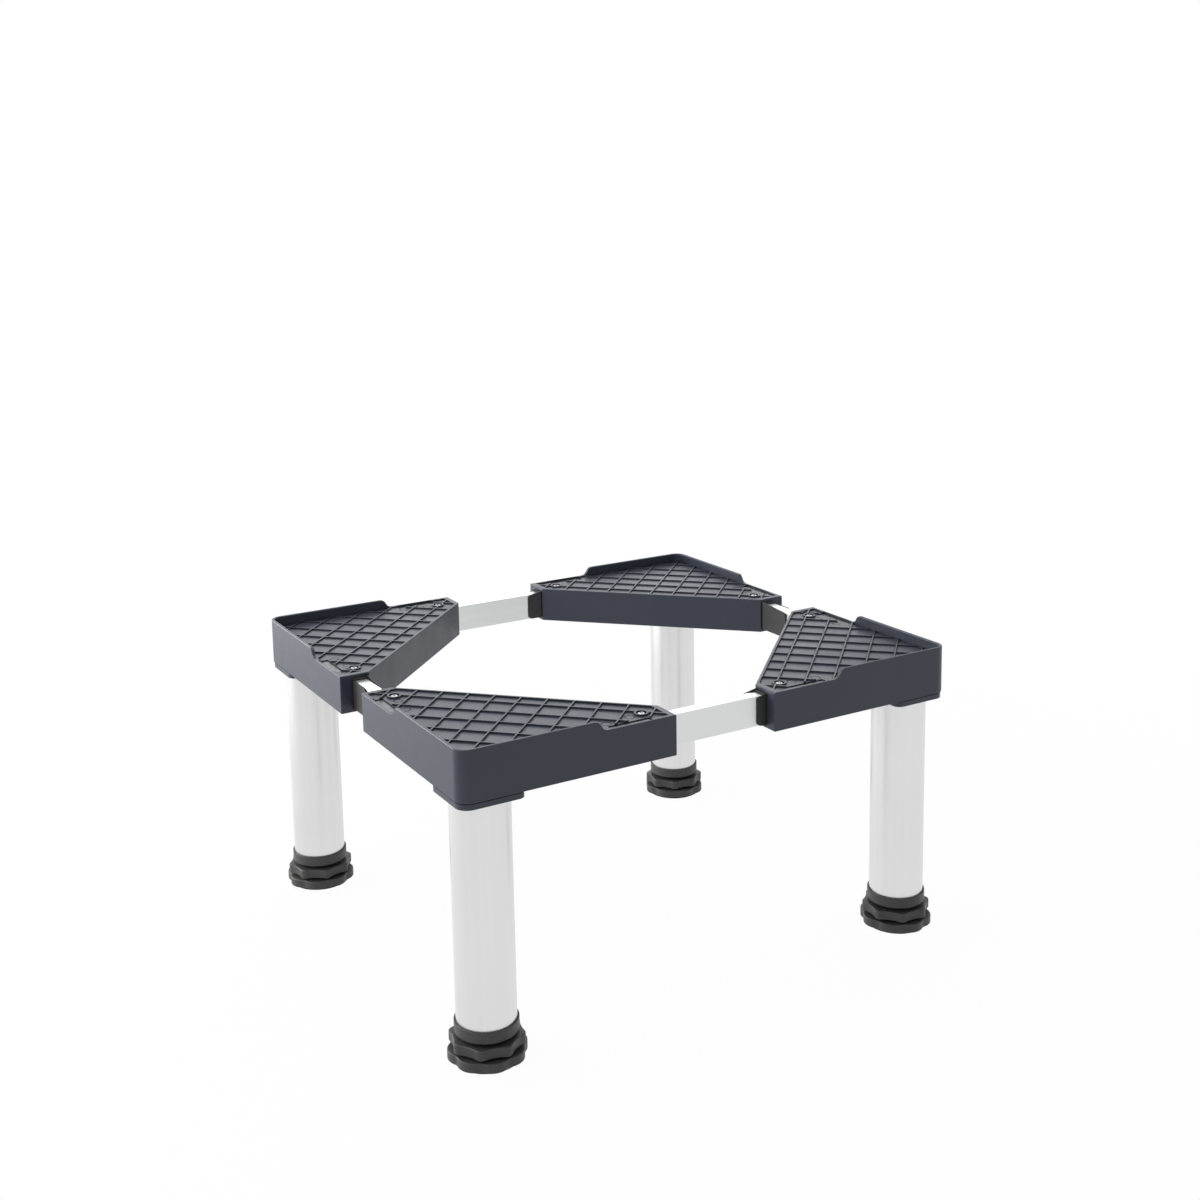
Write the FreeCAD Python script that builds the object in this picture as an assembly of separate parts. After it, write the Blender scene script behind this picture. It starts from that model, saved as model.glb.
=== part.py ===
import FreeCAD, Part
import os
from math import cos, pi, radians, sin, sqrt
from FreeCAD import Vector

# Adjustable pedestal: four corner trays on round legs, joined by four telescopic tubes.
# Millimetres. The origin is on the floor, under the middle of the frame.
# +X runs to the right along the front, +Y to the back and +Z up.
# Each corner is drawn once as the front left one, in a frame whose zero is the outer corner:
# u runs along the front wall, v along the side wall. Mirrors put it in the other corners.

# Gaps between the trays' arms, as the frame is set in the photograph
width_gap = 100.0
depth_gap = 52.0

# Corner tray
arm_length = 197.0
arm_inner_wall = 1.5
corner_radius = 12.0
wall = 2.5
tray_bottom_z = 229.6
tube_cover = 5.0
deck_drop = 1.5
deck_thickness = 3.0
deck_margin = 3.2
deck_end_margin = 5.6
deck_far_margin = 2.5
lip_height = 8.5
lip_thickness = 3.0
lip_full_length = 118.0
lip_slope_length = 15.0
lip_round = 1.0
edge_round = 0.8
web = 2.0
web_pitch = 33.0

# Diamond ribs on the sunk deck, level with its margins
rib_pitch = 33.5
rib_width = 1.5
rib_draft = 0.2
least_cell = 6.0

# Slot, screw hole and two round moulding marks on each arm
slot_from_end = 20.0
slot_length = 40.0
slot_width = 9.5
slot_inset = 1.6
slot_depth = 3.7
slot_corner_radius = 1.0
screw_from_end = 21.0
screw_off_centre = 2.4
screw_hole_radius = 4.6
screw_boss_radius = 6.2
marks = ((33.3, 20.0), (57.7, 16.7))
mark_radius = 4.4
mark_line = 0.8
mark_depth = 0.4

# Leg socket under the corner
leg_from_wall = 6.0
socket_wall = 2.0
socket_drop = 5.4
socket_inset = 0.9
socket_corner_radius = 7.0
socket_groove_height = 0.8
socket_groove_depth = 0.7
socket_roof = 7.4
fit_gap = 0.05

# Leg tube and what closes its ends
leg_radius = 25.0
leg_wall = 1.5
plug_height = 14.0
plug_rim = 2.0
bolt_radius = 4.0
bolt_head_width = 13.0
bolt_head_height = 5.3
bolt_grip = 5.0
washer_radius = 9.0
washer_thickness = 1.6

# Threaded foot
spigot_wall = 6.37
thread_depth = 0.9
thread_pitch = 3.0
thread_gap = 0.08
collar_overhang = 1.6
collar_height = 9.8
collar_spigot = 26.0
collar_round = 1.0
nut_gap_below = 0.6
nut_height = 8.5
nut_gap_above = 2.9
lobe_count = 8
nut_overhang = 6.6
nut_lobe_rise = 3.2
nut_lobe_arc_share = 0.18
foot_height = 10.4
foot_overhang = 8.0
foot_lobe_rise = 2.4
foot_lobe_arc_share = 0.46
foot_boss_step = 3.5
foot_boss_height = 1.6
foot_stem_in_leg = 21.5
stem_wall = 4.5
lobe_round = 0.9
sole_setback = 1.8
sole_thickness = 2.2
sole_round = 1.0

# Degrees by which each foot's first lobe is turned from u towards v
foot_turns = {"fl": 9.0, "fr": 28.0, "bl": 8.0, "br": 14.5}

# Rectangular connecting tube, its sleeve and its end cap
tube_width = 12.0
tube_height = 27.0
tube_wall = 1.2
tube_round = 1.0
tube_inset = 13.2
tube_rise = 3.0
width_tube_reach = 52.0
depth_tube_reach = 100.0
cap_flange = 1.5
cap_depth = 12.0
sleeve_wall = 1.2
slide_gap = 0.1
sleeve_depth = 40.0
sleeve_top_lip = 3.0
width_outer_ear = 9.5
width_inner_ear = 16.0
depth_outer_ear = 30.0
depth_inner_ear = 40.0
ear_round = 4.0
ear_bottom_rise = 0.3
inner_ear_rise = 2.6
inner_ear_drop = 3.4

# Small screws that hold or clamp the tubes
screw_radius = 2.0
screw_gap = 0.15
screw_head_radius = 3.1
screw_head_height = 2.2
screw_floor = 0.9
screw_cross_width = 1.0
screw_cross_length = 4.0
screw_cross_depth = 1.0
screw_tap_depth = 4.0

# Zinc strip that lies in each slot
strip_thickness = 1.2

# One overrun for every cut
over = 1.0

# Whole frame
frame_width = arm_length * 2 + width_gap
frame_depth = arm_length * 2 + depth_gap

# Heights
tube_bottom_z = tray_bottom_z + tube_rise
tube_top_z = tube_bottom_z + tube_height
sleeve_bottom_z = tube_bottom_z - slide_gap - sleeve_wall
sleeve_top_z = tube_top_z + slide_gap + sleeve_wall
screw_seat_z = sleeve_top_z + screw_floor
side_top_z = tube_top_z + tube_cover
root_z = side_top_z - wall
deck_z = side_top_z - deck_drop
deck_under_z = deck_z - deck_thickness
slot_floor_z = side_top_z - slot_depth
lip_top_z = side_top_z + lip_height
socket_bottom_z = tray_bottom_z - socket_drop
foot_boss_top_z = foot_height + foot_boss_height
nut_bottom_z = foot_boss_top_z + nut_gap_below
nut_top_z = nut_bottom_z + nut_height
collar_bottom_z = nut_top_z + nut_gap_above
leg_bottom_z = collar_bottom_z + collar_height
leg_top_z = deck_z - socket_roof
plug_bottom_z = leg_top_z - plug_height
foot_stem_top_z = leg_bottom_z + foot_stem_in_leg

# Radii about the leg's axis
leg_bore_radius = leg_radius - leg_wall
thread_radius = leg_bore_radius - fit_gap - spigot_wall - thread_gap
nut_lobe_radius = leg_radius + nut_overhang
foot_lobe_radius = leg_radius + foot_overhang

# Places in the corner frame
leg_inset = leg_from_wall + leg_radius
socket_side = leg_inset + leg_radius + socket_wall
channel_end = socket_side + web
sleeve_inset = tube_inset - slide_gap - sleeve_wall
sleeve_far = tube_inset + tube_width + slide_gap + sleeve_wall
arm_end_width = sleeve_far + arm_inner_wall
gutter_far = sleeve_inset - fit_gap - wall / 2
slot_start = arm_length - slot_from_end - slot_length
screw_along = arm_length - screw_from_end
screw_inset = tube_inset + tube_width / 2 + screw_off_centre


def prism(points, bottom_z, top_z):
    wire = Part.makePolygon([Vector(x, y, bottom_z) for x, y in points + points[:1]])
    return Part.Face(wire).extrude(Vector(0, 0, top_z - bottom_z))


def block(u0, v0, z0, u1, v1, z1):
    return Part.makeBox(u1 - u0, v1 - v0, z1 - z0, Vector(u0, v0, z0))


def rod(u, v, bottom_z, top_z, radius):
    return Part.makeCylinder(radius, top_z - bottom_z, Vector(u, v, bottom_z))


def leg_rod(bottom_z, top_z, radius):
    # A cylinder on the leg's axis.
    return rod(leg_inset, leg_inset, bottom_z, top_z, radius)


def swap_arms(shape):
    # Turns a feature of the front arm into the same feature of the side arm.
    return shape.mirror(Vector(0, 0, 0), Vector(1, -1, 0))


def both_arms(shape):
    return [shape, swap_arms(shape)]


def upright_edges(shape, places, reach):
    found = []
    for edge in shape.Edges:
        box = edge.BoundBox
        upright = box.ZLength > max(box.XLength, box.YLength) * 2
        gaps = [max(abs(box.Center.x - u), abs(box.Center.y - v)) for u, v in places]
        if upright and min(gaps) < reach:
            found.append(edge)
    return found


def level_edges(shape, z):
    boxes = [(edge, edge.BoundBox) for edge in shape.Edges]
    return [edge for edge, box in boxes if abs(box.ZMin - z) < fit_gap and box.ZLength < fit_gap]


def tray_outline(inset):
    # Inset moves every side of the plan inwards by the same distance.
    end = arm_length - inset
    sum_at_edge = arm_length + arm_end_width - inset * sqrt(2)
    return [(inset, inset), (end, inset), (end, sum_at_edge - end), (sum_at_edge - end, end), (inset, end)]


def rounded_outline(inset, bottom_z, top_z):
    body = prism(tray_outline(inset), bottom_z, top_z)
    return body.makeFillet(corner_radius - inset, upright_edges(body, [(inset, inset)], over))


def tray_body():
    body = rounded_outline(0, tray_bottom_z, side_top_z)
    body = body.makeFillet(edge_round, upright_edges(body, tray_outline(0)[1:], over))
    return body.makeFillet(edge_round, level_edges(body, tray_bottom_z) + level_edges(body, side_top_z))


def lip_on_front():
    slope_end = lip_full_length + lip_slope_length
    bend = lip_slope_length * 2 / 3
    root = Vector(0, 0, root_z)
    crest = Vector(0, 0, lip_top_z)
    slope_top = Vector(lip_full_length, 0, lip_top_z)
    slope_foot = Vector(slope_end, 0, side_top_z)
    sunk = Vector(slope_end, 0, root_z)
    curve = Part.BezierCurve()
    curve.setPoles([slope_top, slope_top + Vector(bend, 0, 0), slope_foot - Vector(bend, 0, 0), slope_foot])
    lines = [(root, crest), (crest, slope_top), (slope_foot, sunk), (sunk, root)]
    edges = [Part.LineSegment(start, end).toShape() for start, end in lines]
    edges.insert(2, curve.toShape())
    return Part.Face(Part.Wire(edges)).extrude(Vector(0, lip_thickness, 0))


def lips():
    # The lip follows the two outer walls round the rounded corner, and its root is sunk in the wall.
    ring = rounded_outline(0, root_z, lip_top_z)
    ring = ring.cut(rounded_outline(lip_thickness, root_z - over, lip_top_z + over))
    ring = ring.makeFillet(lip_round, level_edges(ring, lip_top_z))
    corner = block(0, 0, root_z, corner_radius, corner_radius, lip_top_z)
    band = lip_on_front()
    band = band.fuse([swap_arms(band), corner])
    return ring.common(band).removeSplitter()


def deck_recess():
    end = arm_length - deck_end_margin
    far_sum = arm_length + arm_end_width - deck_far_margin * sqrt(2)
    near = deck_margin
    outline = [(near, near), (end, near), (end, far_sum - end), (far_sum - end, end), (near, end)]
    recess = prism(outline, deck_z, side_top_z + over)
    return recess.makeFillet(corner_radius - near, upright_edges(recess, [(near, near)], over))


def rib_cell(u, v, half):
    # The hollow between four ribs, wider at the top by the ribs' draft.
    wires = []
    for z, reach in ((deck_z, half), (side_top_z, half + rib_draft), (side_top_z + over, half + rib_draft)):
        ends = [(u - reach, v), (u, v - reach), (u + reach, v), (u, v + reach), (u - reach, v)]
        wires.append(Part.makePolygon([Vector(x, y, z) for x, y in ends]))
    return Part.makeLoft(wires, True, True)


def deck_cells():
    # Every hollow of the deck but for the bosses round the screws.
    half = rib_pitch / 2 - rib_width / sqrt(2)
    count = int((arm_length + arm_end_width) / rib_pitch) + 1
    cells = []
    for across in range(-count, count):
        for outward in range(0, count):
            total = rib_pitch * (outward + 1 / 2)
            difference = rib_pitch * (across + 1 / 2)
            u = (total + difference) / 2
            v = (total - difference) / 2
            if u > -half and v > -half:
                cells.append(rib_cell(u, v, half))
    boss = screw_rod(deck_z - over, side_top_z + over * 2, screw_boss_radius)
    kept = Part.makeCompound(cells).common(deck_recess()).cut(both_arms(boss))
    return [cell for cell in kept.Solids if cell.Volume > least_cell]


def block_layer(inset, bottom_z, top_z):
    far = socket_side + socket_inset - inset
    layer = block(inset, inset, bottom_z, far, far, top_z)
    inner = upright_edges(layer, [(inset, far), (far, inset), (far, far)], over)
    layer = layer.makeFillet(socket_corner_radius, inner)
    return layer.makeFillet(corner_radius - inset, upright_edges(layer, [(inset, inset)], over))


def corner_block():
    # A narrow groove parts the block from the tray above it.
    groove_z = tray_bottom_z - socket_groove_height
    low = block_layer(socket_inset, socket_bottom_z, groove_z)
    neck = block_layer(socket_inset + socket_groove_depth, groove_z - over, tray_bottom_z + over)
    return low.fuse(neck)


def underside_cells():
    start = arm_end_width + web
    far_sum = arm_length + arm_end_width - (wall + web / 2) * sqrt(2)
    reach = far_sum - start
    outline = [(start, start), (reach, start), (start, reach)]
    field = prism(outline, tray_bottom_z - over, deck_under_z)
    low = tray_bottom_z - over * 2
    keep = [block(0, 0, low, channel_end, channel_end, deck_z)]
    along = channel_end
    while along < reach:
        keep += both_arms(block(along, 0, low, along + web, arm_length, deck_z))
        along += web_pitch
    return field.cut(keep)


def gutter_spans():
    # Start and end of each hollow between the webs, beside the outer wall.
    spans = []
    along = channel_end
    while along < arm_length - wall * 2:
        spans.append((along, min(along + web_pitch - web, arm_length - wall)))
        along += web_pitch
    return spans


def gutter_cells():
    low = tray_bottom_z - over
    return [block(start, wall, low, end, gutter_far, deck_under_z) for start, end in gutter_spans()]


def channel(kind):
    if kind == "sleeve":
        near = sleeve_inset - fit_gap
        far = sleeve_far + fit_gap
        low = sleeve_bottom_z - fit_gap
        high = sleeve_top_z + fit_gap
    else:
        near = tube_inset - fit_gap
        far = tube_inset + tube_width + fit_gap
        low = tube_bottom_z - fit_gap
        high = tube_top_z + fit_gap
    return block(channel_end, near, low, arm_length + over, far, high)


def slot_bar(bottom_z, top_z, gap):
    ends = (slot_start + gap, slot_start + slot_length - gap)
    sides = (slot_inset + gap, slot_inset + slot_width - gap)
    bar = block(ends[0], sides[0], bottom_z, ends[1], sides[1], top_z)
    upright = [edge for edge in bar.Edges if edge.BoundBox.ZLength > fit_gap]
    return bar.makeFillet(slot_corner_radius, upright)


def screw_rod(bottom_z, top_z, radius):
    # A cylinder on the axis of the front arm's screw.
    return rod(screw_along, screw_inset, bottom_z, top_z, radius)


def screw_cut():
    deep = screw_rod(tube_top_z - over, side_top_z + over, screw_radius + screw_gap)
    return deep.fuse(screw_rod(screw_seat_z, side_top_z + over, screw_hole_radius))


def mark_cut(from_end, inset):
    u = arm_length - from_end
    ring = rod(u, inset, deck_z - mark_depth, deck_z + over, mark_radius)
    return ring.cut(rod(u, inset, deck_z - mark_depth * 2, deck_z + over * 2, mark_radius - mark_line))


def tray(front_kind, side_kind):
    body = tray_body().fuse([lips(), corner_block()]).removeSplitter()
    cuts = deck_cells() + [underside_cells(), channel(front_kind), swap_arms(channel(side_kind))]
    mark_rings = [mark_cut(from_end, inset) for from_end, inset in marks]
    slot = slot_bar(slot_floor_z, side_top_z + over, 0)
    for feature in gutter_cells() + mark_rings + [slot, screw_cut()]:
        cuts += both_arms(feature)
    cuts.append(leg_rod(socket_bottom_z - over, leg_top_z, leg_radius + fit_gap))
    cuts.append(leg_rod(leg_top_z - over, leg_top_z + bolt_grip + over, bolt_radius + fit_gap))
    for cut in cuts:
        body = body.cut(cut)
    return body


def strips():
    bar = slot_bar(slot_floor_z, slot_floor_z + strip_thickness, fit_gap)
    return Part.makeCompound(both_arms(bar))


def leg_tube():
    outer = leg_rod(leg_bottom_z, leg_top_z, leg_radius)
    return outer.cut(leg_rod(leg_bottom_z - over, leg_top_z + over, leg_bore_radius))


def leg_plug():
    bore = leg_bore_radius - fit_gap
    half_z = plug_bottom_z + plug_height / 2
    body = leg_rod(plug_bottom_z, leg_top_z, bore)
    hollow = leg_rod(plug_bottom_z - over, half_z, bore - plug_rim)
    hub = leg_rod(plug_bottom_z, half_z + over, washer_radius + plug_rim)
    hole = leg_rod(plug_bottom_z - over, leg_top_z + over, bolt_radius + screw_gap)
    return body.cut(hollow).fuse(hub).cut(hole).removeSplitter()


def hexagon(across_flats, bottom_z, top_z):
    radius = across_flats / sqrt(3)
    turns = [radians(60 * i) for i in range(6)]
    points = [(leg_inset + radius * cos(turn), leg_inset + radius * sin(turn)) for turn in turns]
    return prism(points, bottom_z, top_z)


def leg_bolt():
    washer_bottom_z = plug_bottom_z - washer_thickness
    shank = leg_rod(washer_bottom_z - over, leg_top_z + bolt_grip, bolt_radius)
    head = hexagon(bolt_head_width, washer_bottom_z - bolt_head_height, washer_bottom_z)
    washer = leg_rod(washer_bottom_z, plug_bottom_z, washer_radius)
    return head.fuse([washer, shank]).removeSplitter()


def leg_collar():
    spigot_top_z = leg_bottom_z + collar_spigot
    ring = leg_rod(collar_bottom_z, leg_bottom_z, leg_radius + collar_overhang)
    ring = ring.makeFillet(collar_round, level_edges(ring, collar_bottom_z))
    spigot = leg_rod(leg_bottom_z - over, spigot_top_z, leg_bore_radius - fit_gap)
    bore = leg_rod(collar_bottom_z - over, spigot_top_z + over, thread_radius + thread_gap)
    return ring.fuse(spigot).cut(bore).removeSplitter()


def lobed_disc(bottom_z, top_z, peak, rise, lobe_arc_share, turn):
    # Each lobe is one arc, and each valley one hollow arc that meets two lobes smoothly.
    step = 2 * pi / lobe_count
    lobe_arc = peak * lobe_arc_share
    valley = peak - rise
    lobe_centre = peak - lobe_arc
    toward = lobe_centre * cos(step / 2)
    reach = lobe_arc ** 2 - lobe_centre ** 2 - valley ** 2 + 2 * valley * toward
    hollow_arc = reach / (2 * (valley - toward - lobe_arc))
    hollow_centre = valley + hollow_arc
    share = lobe_arc / (lobe_arc + hollow_arc)
    meet_u = lobe_centre + (hollow_centre * cos(step / 2) - lobe_centre) * share
    meet_v = hollow_centre * sin(step / 2) * share

    def at(angle, u, v):
        across = u * cos(angle) - v * sin(angle)
        along = u * sin(angle) + v * cos(angle)
        return Vector(leg_inset + across, leg_inset + along, bottom_z)

    edges = []
    for i in range(lobe_count):
        middle = step * i + turn
        start = at(middle, meet_u, -meet_v)
        end = at(middle, meet_u, meet_v)
        edges.append(Part.Arc(start, at(middle, peak, 0), end).toShape())
        next_start = at(middle + step, meet_u, -meet_v)
        edges.append(Part.Arc(end, at(middle + step / 2, valley, 0), next_start).toShape())
    disc = Part.Face(Part.Wire(edges)).extrude(Vector(0, 0, top_z - bottom_z))
    return disc.makeFillet(lobe_round, level_edges(disc, bottom_z) + level_edges(disc, top_z))


def lock_nut(turn):
    disc = lobed_disc(nut_bottom_z, nut_top_z, nut_lobe_radius, nut_lobe_rise, nut_lobe_arc_share, turn)
    return disc.cut(leg_rod(nut_bottom_z - over, nut_top_z + over, thread_radius + thread_gap))


def thread_grooves():
    # Ring grooves at the thread's pitch, from the boss up to the stem's top.
    grooves = []
    z = foot_boss_top_z + thread_pitch / 2
    while z < foot_stem_top_z - thread_pitch:
        ring = leg_rod(z - thread_pitch / 4, z + thread_pitch / 4, thread_radius + over)
        grooves.append(ring.cut(leg_rod(z - thread_pitch, z + thread_pitch, thread_radius - thread_depth)))
        z += thread_pitch
    return Part.makeCompound(grooves)


def foot(turn):
    # The valleys of the base stand under the nut's lobes.
    shape = (foot_lobe_radius, foot_lobe_rise, foot_lobe_arc_share, turn + pi / lobe_count)
    base = lobed_disc(sole_thickness, foot_height, *shape)
    boss = leg_rod(foot_height - over, foot_boss_top_z, thread_radius + foot_boss_step)
    stem = leg_rod(foot_height - over, foot_stem_top_z, thread_radius).cut(thread_grooves())
    hollow = leg_rod(foot_boss_top_z, foot_stem_top_z + over, thread_radius - stem_wall)
    return base.fuse([boss, stem]).cut(hollow).removeSplitter()


def sole():
    disc = leg_rod(0, sole_thickness, foot_lobe_radius - foot_lobe_rise - sole_setback)
    return disc.makeFillet(sole_round, level_edges(disc, 0))


def rounded_bar(u0, v0, z0, u1, v1, z1, radius):
    bar = block(u0, v0, z0, u1, v1, z1)
    boxes = [(edge, edge.BoundBox) for edge in bar.Edges]
    long_edges = [edge for edge, box in boxes if box.XLength > max(box.YLength, box.ZLength)]
    return bar.makeFillet(radius, long_edges)


def tube_section(start, end, inset, radius):
    # A bar along the arm that fills the tube's outline less the inset. A radius of zero leaves it square.
    corners = [start, tube_inset + inset, tube_bottom_z + inset, end, tube_inset + tube_width - inset,
               tube_top_z - inset]
    return rounded_bar(*corners, radius) if radius else block(*corners)


def beam_tube(end):
    # Drawn along the front arm: it starts at the stop by the leg socket.
    outer = tube_section(channel_end, end, 0, tube_round)
    inner = tube_section(channel_end - over, end + over, tube_wall, 0)
    hole = screw_rod(tube_top_z - tube_wall - over, tube_top_z + over, screw_radius + screw_gap)
    return outer.cut(inner).cut(hole)


def beam_cap(end):
    inset = tube_wall + fit_gap
    flange = tube_section(end, end + cap_flange, 0, tube_round)
    tongue = tube_section(end - cap_depth, end + cap_flange / 2, inset, 0)
    pocket = tube_section(end - cap_depth - over, end, inset + tube_wall, 0)
    return flange.fuse(tongue).cut(pocket).removeSplitter()


def ear(v0, length, low, root_top, tip_top):
    u0 = arm_length - over
    u1 = arm_length + length
    points = [Vector(u0, v0, low), Vector(u1, v0, low), Vector(u1, v0, tip_top), Vector(u0, v0, root_top)]
    plate = Part.Face(Part.makePolygon(points + points[:1])).extrude(Vector(0, sleeve_wall, 0))
    boxes = [(edge, edge.BoundBox) for edge in plate.Edges]
    tips = [edge for edge, box in boxes if box.XMin > u1 - fit_gap and box.ZLength < fit_gap]
    return plate.makeFillet(ear_round, tips)


def sleeve(outer_ear, inner_ear):
    # Drawn in the front arm of its own corner.
    start = arm_length - sleeve_depth
    mouth = arm_length + sleeve_top_lip
    shell = block(start, sleeve_inset, sleeve_bottom_z, arm_length, sleeve_far, sleeve_top_z)
    lip = block(arm_length - over, sleeve_inset, tube_top_z + slide_gap, mouth, sleeve_far, sleeve_top_z)
    bore = tube_section(start - over, mouth + over, -slide_gap, 0)
    low = tube_bottom_z - slide_gap + ear_bottom_rise
    ear_top = tube_top_z + inner_ear_rise
    outer = ear(sleeve_inset, outer_ear, low, tube_top_z, tube_top_z)
    inner = ear(sleeve_far - sleeve_wall, inner_ear, low, ear_top, ear_top - inner_ear_drop)
    hole = screw_rod(tube_top_z - over, sleeve_top_z + over, screw_radius + screw_gap)
    return shell.fuse(lip).cut(bore).fuse([outer, inner]).cut(hole).removeSplitter()


def tube_screw(tip_z):
    head_top = screw_seat_z + screw_head_height
    head = screw_rod(screw_seat_z, head_top, screw_head_radius)
    head = head.makeFillet(screw_head_height / 3, level_edges(head, head_top))
    shank = screw_rod(tip_z, screw_seat_z + over, screw_radius)
    low = head_top - screw_cross_depth
    half_length = screw_cross_length / 2
    half_width = screw_cross_width / 2
    cross = []
    for half_u, half_v in ((half_length, half_width), (half_width, half_length)):
        near = (screw_along - half_u, screw_inset - half_v, low)
        far = (screw_along + half_u, screw_inset + half_v, head_top + over)
        cross.append(block(*near, *far))
    return head.fuse(shank).cut(cross).removeSplitter()


def place(shape, corner):
    # Moves a shape from the corner frame to its corner of the real frame.
    moved = shape.copy()
    moved.translate(Vector(-frame_width / 2, -frame_depth / 2, 0))
    if corner in ("fr", "br"):
        moved = moved.mirror(Vector(0, 0, 0), Vector(1, 0, 0))
    if corner in ("bl", "br"):
        moved = moved.mirror(Vector(0, 0, 0), Vector(0, 1, 0))
    return moved


def save(name, shape):
    if shape.ShapeType == "Compound" and len(shape.Solids) == 1:
        shape = shape.Solids[0]
    if not shape.isValid() or not shape.Solids:
        raise ValueError(name + " is not a valid solid")
    shape.exportStep("parts/" + name + ".step")
    print(name, len(shape.Solids), len(shape.Faces), round(shape.Volume, 1))


def build_corner(corner, front_kind, side_kind):
    turn = radians(foot_turns[corner])
    save("tray_" + corner, place(tray(front_kind, side_kind), corner))
    save("slot_strips_" + corner, place(strips(), corner))
    save("leg_tube_" + corner, place(leg_tube(), corner))
    save("leg_plug_" + corner, place(leg_plug(), corner))
    save("leg_bolt_" + corner, place(leg_bolt(), corner))
    save("leg_collar_" + corner, place(leg_collar(), corner))
    save("lock_nut_" + corner, place(lock_nut(turn), corner))
    save("foot_" + corner, place(foot(turn), corner))
    save("foot_sole_" + corner, place(sole(), corner))


def build_side(side, fixed_corner, sleeve_corner, along_width):
    if along_width:
        span, reach, outer_ear, inner_ear = frame_width, width_tube_reach, width_outer_ear, width_inner_ear
    else:
        span, reach, outer_ear, inner_ear = frame_depth, depth_tube_reach, depth_outer_ear, depth_inner_ear
    end = span - arm_length + reach

    def put(name, shape, corner):
        save(name + "_" + side, place(shape if along_width else swap_arms(shape), corner))

    put("beam_tube", beam_tube(end), fixed_corner)
    put("beam_cap", beam_cap(end), fixed_corner)
    put("fixing_screw", tube_screw(tube_top_z - screw_tap_depth), fixed_corner)
    put("sleeve", sleeve(outer_ear, inner_ear), sleeve_corner)
    put("clamp_screw", tube_screw(tube_top_z + slide_gap), sleeve_corner)


os.makedirs("parts", exist_ok=True)
build_corner("fl", "fixed", "fixed")
build_corner("fr", "sleeve", "fixed")
build_corner("bl", "fixed", "sleeve")
build_corner("br", "sleeve", "sleeve")
build_side("front", "fl", "fr", True)
build_side("back", "bl", "br", True)
build_side("left", "fl", "bl", False)
build_side("right", "fr", "br", False)
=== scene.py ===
from math import pi, radians

import bpy
from mathutils import Matrix, Vector

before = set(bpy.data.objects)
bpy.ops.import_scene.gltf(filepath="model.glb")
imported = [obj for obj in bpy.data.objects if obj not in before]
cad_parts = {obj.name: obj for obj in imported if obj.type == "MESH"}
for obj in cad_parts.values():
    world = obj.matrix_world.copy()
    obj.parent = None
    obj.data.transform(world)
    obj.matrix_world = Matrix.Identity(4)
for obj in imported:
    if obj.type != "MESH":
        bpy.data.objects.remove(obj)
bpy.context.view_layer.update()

mm = 0.001
corners = ("fl", "fr", "bl", "br")
sides = ("front", "back", "left", "right")

# Camera of the photograph
camera_place = Vector((-706.208 * mm, -1227.411 * mm, 688.560 * mm))
camera_yaw = radians(30.337)
camera_pitch = radians(9.206)
camera_roll = radians(-1.016)
photo_size_px = 1200.0
photo_focal_px = 1524.2
photo_centre_y_px = 439.76
sensor_width_mm = 36.0

# Light
white = (1.0, 1.0, 1.0, 1.0)
white_strength = 1.0
world_diffuse_strength = 0.42
lamp_target = (0.0, 0.0, 0.2)
key_place = (-1.8, 0.1, 1.6)
key_size = (1.4, 1.4)
key_radiance = 3.0
left_card_place = (-1.0, 1.05, 0.5)
left_card_size = (1.2, 0.9)
left_card_radiance = 6.8
top_card_place = (0.2, 0.6, 2.2)
top_card_size = (1.8, 1.8)
top_card_radiance = 1.6
back_card_place = (0.8, 1.6, 0.9)
back_card_size = (1.4, 0.9)
back_card_radiance = 1.2

# Floor
floor_paint = (0.7, 0.7, 0.7, 1.0)
floor_size = 12.0
floor_drop = 0.2 * mm
floor_clear_share = 0.97
floor_fade_start = 0.35
floor_fade_end = 1.1

# Texture space in metres, the same on each axis
even = (1.0, 1.0, 1.0)

# Painted shade in narrow recesses: an occlusion node darkens the colour there, and the same
# occlusion makes those places rougher
painted_shade_reach = 2.2 * mm
painted_shade_samples = 6
painted_shade_power = 2.0
hollow_dullness = 0.5
hollow_closed = 0.3
hollow_open = 0.9

# Moulded plastic
flow_scale = 9.0
flow_detail = 4.0
flow_roughness = 0.55
grain_detail = 2.0
grain_strength = 0.35
wave_scale = 22.0
wave_detail = 1.0
wave_depth = 0.35 * mm
wave_strength = 0.25
rubbed_scale = 55.0
rubbed_detail = 6.0
rubbed_roughness = 0.7
rubbed_gloss = -0.03
rubbed_dullness = 0.05
plastic_ior = 1.5
tray_grain = 0.45 * mm
fine_grain = 0.35 * mm
rubber_grain = 0.6 * mm
plastic_grain_depth = 0.03 * mm
rubber_grain_depth = 0.06 * mm
tray_colour = (0.027, 0.033, 0.051, 1.0)
tray_colour_light = (0.032, 0.038, 0.058, 1.0)
black_colour = (0.031, 0.031, 0.031, 1.0)
black_colour_light = (0.040, 0.040, 0.039, 1.0)
sleeve_colour = (0.036, 0.036, 0.037, 1.0)
sleeve_colour_light = (0.044, 0.044, 0.045, 1.0)
rubber_colour = (0.016, 0.016, 0.016, 1.0)
rubber_colour_light = (0.022, 0.022, 0.022, 1.0)

# Drawn steel
line_detail = 2.0
line_roughness = 0.4
cloud_scale = 14.0
cloud_detail = 1.0
tone_share = 0.5
leg_lines = (240.0, 240.0, 1.5)
wide_beam_lines = (1.5, 320.0, 320.0)
deep_beam_lines = (320.0, 1.5, 320.0)
leg_colour = (0.68, 0.68, 0.68, 1.0)
leg_colour_light = (0.72, 0.72, 0.72, 1.0)
beam_colour = (0.635, 0.645, 0.645, 1.0)
beam_colour_light = (0.67, 0.68, 0.68, 1.0)

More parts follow.
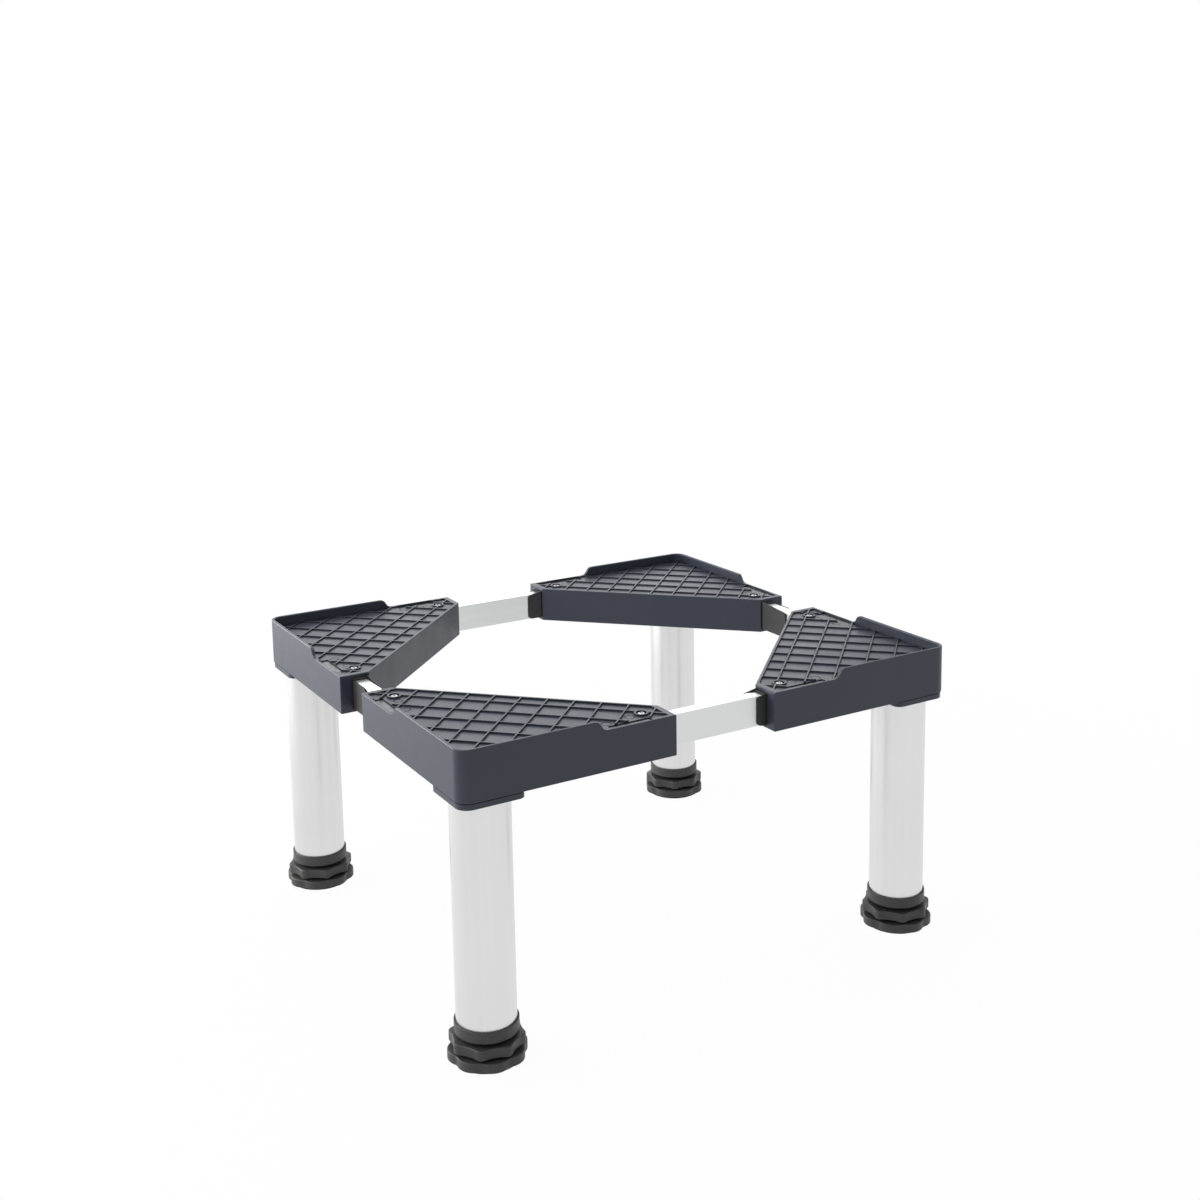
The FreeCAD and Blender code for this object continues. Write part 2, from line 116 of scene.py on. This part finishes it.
# Zinc plate
crystal_scale = 420.0
zinc_cloud_scale = 90.0
zinc_bump_depth = 0.05 * mm
zinc_bump_strength = 0.2
zinc_colour = (0.50, 0.50, 0.49, 1.0)
zinc_colour_light = (0.62, 0.62, 0.61, 1.0)
# The slot strips' zinc is much darker than the screws' zinc: painted shade of the narrow slots
# the strips lie in
strip_colour_with_slot_shade = (0.13, 0.13, 0.14, 1.0)
strip_colour_light_with_slot_shade = (0.20, 0.20, 0.21, 1.0)

# Lowest and highest roughness of each finish, and how strongly the plastics shine
tray_gloss = (0.36, 0.44)
black_gloss = (0.42, 0.5)
sleeve_gloss = (0.5, 0.6)
rubber_gloss = (0.7, 0.8)
leg_gloss = (0.31, 0.34)
beam_gloss = (0.29, 0.33)
zinc_gloss = (0.24, 0.4)
strip_gloss = (0.4, 0.55)
tray_specular = 0.42
black_specular = 0.45
sleeve_specular = 0.25
rubber_specular = 0.3


class Nodes:
    """Builds one node tree with short calls."""

    def __init__(self, owner, output="ShaderNodeOutputMaterial"):
        self.owner = owner
        owner.use_nodes = True
        self.tree = owner.node_tree
        self.tree.nodes.clear()
        self.output = self.add(output)

    def add(self, kind, inputs=None, **settings):
        node = self.tree.nodes.new(kind)
        for key, value in settings.items():
            setattr(node, key, value)
        for key, value in (inputs or {}).items():
            if isinstance(value, bpy.types.NodeSocket):
                self.tree.links.new(value, node.inputs[key])
            else:
                node.inputs[key].default_value = value
        return node

    def finish(self, shader):
        self.tree.links.new(shader.outputs[0], self.output.inputs["Surface"])
        return self.owner

    def place(self, scale):
        """Object coordinates in metres, stretched by a scale on each axis."""
        texture = self.add("ShaderNodeTexCoord")
        inputs = {"Vector": texture.outputs["Object"], "Scale": scale}
        return self.add("ShaderNodeMapping", inputs).outputs[0]

    def noise(self, vector, scale, detail=3.0, roughness=0.5):
        inputs = {"Vector": vector, "Scale": scale, "Detail": detail, "Roughness": roughness}
        return self.add("ShaderNodeTexNoise", inputs).outputs["Fac"]

    def spread(self, value, low, high, from_low=0.3, from_high=0.7):
        inputs = {"Value": value, "From Min": from_low, "From Max": from_high,
                  "To Min": low, "To Max": high}
        return self.add("ShaderNodeMapRange", inputs).outputs[0]

    def sum(self, first, second):
        return self.add("ShaderNodeMath", {0: first, 1: second}, operation="ADD").outputs[0]

    def blend(self, share, first, second):
        # A mix node of colours has its colours on inputs 6 and 7, and the mix on output 2.
        mix = self.add("ShaderNodeMix", data_type="RGBA")
        self.tree.links.new(share, mix.inputs["Factor"])
        mix.inputs[6].default_value = first
        mix.inputs[7].default_value = second
        return mix.outputs[2]

    def painted_recess_shade(self, colour):
        """The colour with painted shade, darkened by occlusion in narrow recesses, and how open
        each place is.
        """
        inputs = {"Distance": painted_shade_reach}
        occlusion = self.add("ShaderNodeAmbientOcclusion", inputs, samples=painted_shade_samples)
        openness = occlusion.outputs["AO"]
        # painted shade: the colour is multiplied by the occlusion raised to a power
        inputs = {0: openness, 1: painted_shade_power}
        shade = self.add("ShaderNodeMath", inputs, operation="POWER").outputs[0]
        painted_shade_colour = self.add("ShaderNodeVectorMath", {0: colour, 1: shade}, operation="MULTIPLY")
        return painted_shade_colour.outputs["Vector"], openness

    def bump(self, height, distance, strength, normal=None):
        inputs = {"Height": height, "Distance": distance, "Strength": strength}
        if normal is not None:
            inputs["Normal"] = normal
        return self.add("ShaderNodeBump", inputs).outputs[0]


def moulded(name, dark, light, gloss, grain_size, grain_depth, specular):
    """Moulded plastic: a fine grain, slow flow marks, rubbed spots, rougher recesses and
    painted shade in narrow recesses.
    """
    nodes = Nodes(bpy.data.materials.new(name))
    place = nodes.place(even)
    flow = nodes.noise(place, flow_scale, flow_detail, flow_roughness)
    grain = nodes.noise(place, 1.0 / grain_size, grain_detail)
    waves = nodes.noise(place, wave_scale, wave_detail)
    rubbed = nodes.noise(place, rubbed_scale, rubbed_detail, rubbed_roughness)
    colour = nodes.blend(nodes.spread(flow, 0.0, 1.0), dark, light)
    # painted shade: the colour darkens by occlusion in narrow recesses
    colour, openness = nodes.painted_recess_shade(colour)
    worn = nodes.spread(rubbed, rubbed_gloss, rubbed_dullness)
    rough = nodes.sum(nodes.spread(flow, *gloss), worn)
    dull = nodes.spread(openness, hollow_dullness, 0.0, hollow_closed, hollow_open)
    wavy = nodes.bump(waves, wave_depth, wave_strength)
    inputs = {"Base Color": colour, "Roughness": nodes.sum(rough, dull),
              "Normal": nodes.bump(grain, grain_depth, grain_strength, wavy),
              "Specular IOR Level": specular, "IOR": plastic_ior}
    return nodes.finish(nodes.add("ShaderNodeBsdfPrincipled", inputs))


def drawn_steel(name, dark, light, stretch, gloss):
    """Polished drawn tube: faint lines of tone along its length over slow clouding."""
    nodes = Nodes(bpy.data.materials.new(name))
    lines = nodes.noise(nodes.place(stretch), 1.0, line_detail, line_roughness)
    cloud = nodes.noise(nodes.place(even), cloud_scale, cloud_detail)
    tone = nodes.sum(nodes.spread(lines, 0.0, tone_share), nodes.spread(cloud, 0.0, tone_share))
    inputs = {"Base Color": nodes.blend(tone, dark, light),
              "Roughness": nodes.spread(cloud, *gloss), "Metallic": 1.0}
    return nodes.finish(nodes.add("ShaderNodeBsdfPrincipled", inputs))


def zinc_plate(name, dark, light, gloss):
    """Zinc: small crystals in slightly different greys, with painted shade where it lies in a
    recess.
    """
    nodes = Nodes(bpy.data.materials.new(name))
    place = nodes.place(even)
    inputs = {"Vector": place, "Scale": crystal_scale}
    crystals = nodes.add("ShaderNodeTexVoronoi", inputs).outputs["Color"]
    tone = nodes.add("ShaderNodeSeparateColor", {"Color": crystals}).outputs[0]
    cloud = nodes.noise(place, zinc_cloud_scale)
    # painted shade: the base colour darkens by occlusion in recesses
    inputs = {"Base Color": nodes.painted_recess_shade(nodes.blend(tone, dark, light))[0],
              "Roughness": nodes.spread(cloud, *gloss),
              "Normal": nodes.bump(cloud, zinc_bump_depth, zinc_bump_strength),
              "Metallic": 1.0}
    return nodes.finish(nodes.add("ShaderNodeBsdfPrincipled", inputs))


def dress(node, material):
    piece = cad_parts[node]
    piece.data.materials.clear()
    piece.data.materials.append(material)
    return piece


tray_plastic = moulded("tray_plastic", tray_colour, tray_colour_light, tray_gloss,
                       tray_grain, plastic_grain_depth, tray_specular)
black_plastic = moulded("black_plastic", black_colour, black_colour_light, black_gloss,
                        fine_grain, plastic_grain_depth, black_specular)
sleeve_plastic = moulded("sleeve_plastic", sleeve_colour, sleeve_colour_light, sleeve_gloss,
                         fine_grain, plastic_grain_depth, sleeve_specular)
sole_rubber = moulded("sole_rubber", rubber_colour, rubber_colour_light, rubber_gloss,
                      rubber_grain, rubber_grain_depth, rubber_specular)
leg_steel = drawn_steel("leg_steel", leg_colour, leg_colour_light, leg_lines, leg_gloss)
wide_beam_steel = drawn_steel("wide_beam_steel", beam_colour, beam_colour_light,
                              wide_beam_lines, beam_gloss)
deep_beam_steel = drawn_steel("deep_beam_steel", beam_colour, beam_colour_light,
                              deep_beam_lines, beam_gloss)
zinc = zinc_plate("zinc_plate", zinc_colour, zinc_colour_light, zinc_gloss)
strip_zinc = zinc_plate("strip_zinc", strip_colour_with_slot_shade, strip_colour_light_with_slot_shade, strip_gloss)

corner_finish = {"tray": tray_plastic, "slot_strips": strip_zinc, "leg_tube": leg_steel,
                 "leg_plug": black_plastic, "leg_bolt": zinc, "leg_collar": black_plastic,
                 "lock_nut": black_plastic, "foot": black_plastic, "foot_sole": sole_rubber}
side_finish = {"beam_cap": black_plastic, "fixing_screw": zinc, "sleeve": sleeve_plastic,
               "clamp_screw": zinc}
beam_finish = {"front": wide_beam_steel, "back": wide_beam_steel,
               "left": deep_beam_steel, "right": deep_beam_steel}

for corner in corners:
    for name, material in corner_finish.items():
        dress(name + "_" + corner, material)
for side in sides:
    for name, material in side_finish.items():
        dress(name + "_" + side, material)
    dress("beam_tube_" + side, beam_finish[side])


def light_path_share(nodes):
    """1 for camera, glossy and transmission rays, and 0 for the rays that light the object."""
    path = nodes.add("ShaderNodeLightPath").outputs
    inputs = {0: path["Is Camera Ray"], 1: path["Is Glossy Ray"]}
    first = nodes.add("ShaderNodeMath", inputs, operation="MAXIMUM").outputs[0]
    inputs = {0: first, 1: path["Is Transmission Ray"]}
    return nodes.add("ShaderNodeMath", inputs, operation="MAXIMUM").outputs[0]


def make_world():
    nodes = Nodes(bpy.data.worlds.new("studio"), "ShaderNodeOutputWorld")
    seen = nodes.add("ShaderNodeBackground", {"Color": white, "Strength": white_strength})
    inputs = {"Color": white, "Strength": world_diffuse_strength}
    lighting = nodes.add("ShaderNodeBackground", inputs)
    inputs = {0: light_path_share(nodes), 1: lighting.outputs[0], 2: seen.outputs[0]}
    bpy.context.scene.world = nodes.finish(nodes.add("ShaderNodeMixShader", inputs))


def floor_material():
    """Clear to the white world and to lowered feet, but for a share that takes the shadow."""
    nodes = Nodes(bpy.data.materials.new("studio_floor"))
    texture = nodes.add("ShaderNodeTexCoord")
    inputs = {0: texture.outputs["Object"]}
    reach = nodes.add("ShaderNodeVectorMath", inputs, operation="LENGTH").outputs["Value"]
    clear_share = nodes.spread(reach, floor_clear_share, 1.0, floor_fade_start, floor_fade_end)
    inputs = {0: light_path_share(nodes), 1: clear_share}
    share = nodes.add("ShaderNodeMath", inputs, operation="MULTIPLY")
    paint = nodes.add("ShaderNodeBsdfDiffuse", {"Color": floor_paint})
    clear = nodes.add("ShaderNodeBsdfTransparent")
    inputs = {0: share.outputs[0], 1: paint.outputs[0], 2: clear.outputs[0]}
    return nodes.finish(nodes.add("ShaderNodeMixShader", inputs))


def make_floor():
    mesh = bpy.data.meshes.new("floor")
    half = floor_size / 2
    places = [(-half, -half, 0), (half, -half, 0), (half, half, 0), (-half, half, 0)]
    mesh.from_pydata(places, [], [(0, 1, 2, 3)])
    mesh.materials.append(floor_material())
    floor = bpy.data.objects.new("floor", mesh)
    floor.location.z = -floor_drop
    bpy.context.scene.collection.objects.link(floor)


def softbox(name, place, size, radiance):
    width, height = size
    data = bpy.data.lights.new(name, "AREA")
    data.shape = "RECTANGLE"
    data.size = width
    data.size_y = height
    data.energy = radiance * pi * width * height
    lamp = bpy.data.objects.new(name, data)
    lamp.location = place
    aim = Vector(lamp_target) - Vector(place)
    lamp.rotation_euler = aim.to_track_quat("-Z", "Y").to_euler()
    lamp.visible_camera = False
    bpy.context.scene.collection.objects.link(lamp)


def make_camera():
    data = bpy.data.cameras.new("photo_camera")
    data.sensor_width = sensor_width_mm
    data.lens = photo_focal_px / photo_size_px * sensor_width_mm
    data.shift_y = (photo_centre_y_px - photo_size_px / 2) / photo_size_px
    camera = bpy.data.objects.new("photo_camera", data)
    yaw = Matrix.Rotation(-camera_yaw, 4, "Z")
    pitch = Matrix.Rotation(pi / 2 - camera_pitch, 4, "X")
    turn = yaw @ pitch @ Matrix.Rotation(camera_roll, 4, "Z")
    camera.matrix_world = Matrix.Translation(camera_place) @ turn
    bpy.context.scene.collection.objects.link(camera)
    bpy.context.scene.camera = camera


make_world()
make_floor()
softbox("key", key_place, key_size, key_radiance)
softbox("left_card", left_card_place, left_card_size, left_card_radiance)
softbox("top_card", top_card_place, top_card_size, top_card_radiance)
softbox("back_card", back_card_place, back_card_size, back_card_radiance)
make_camera()
bpy.context.scene.view_settings.view_transform = "Standard"
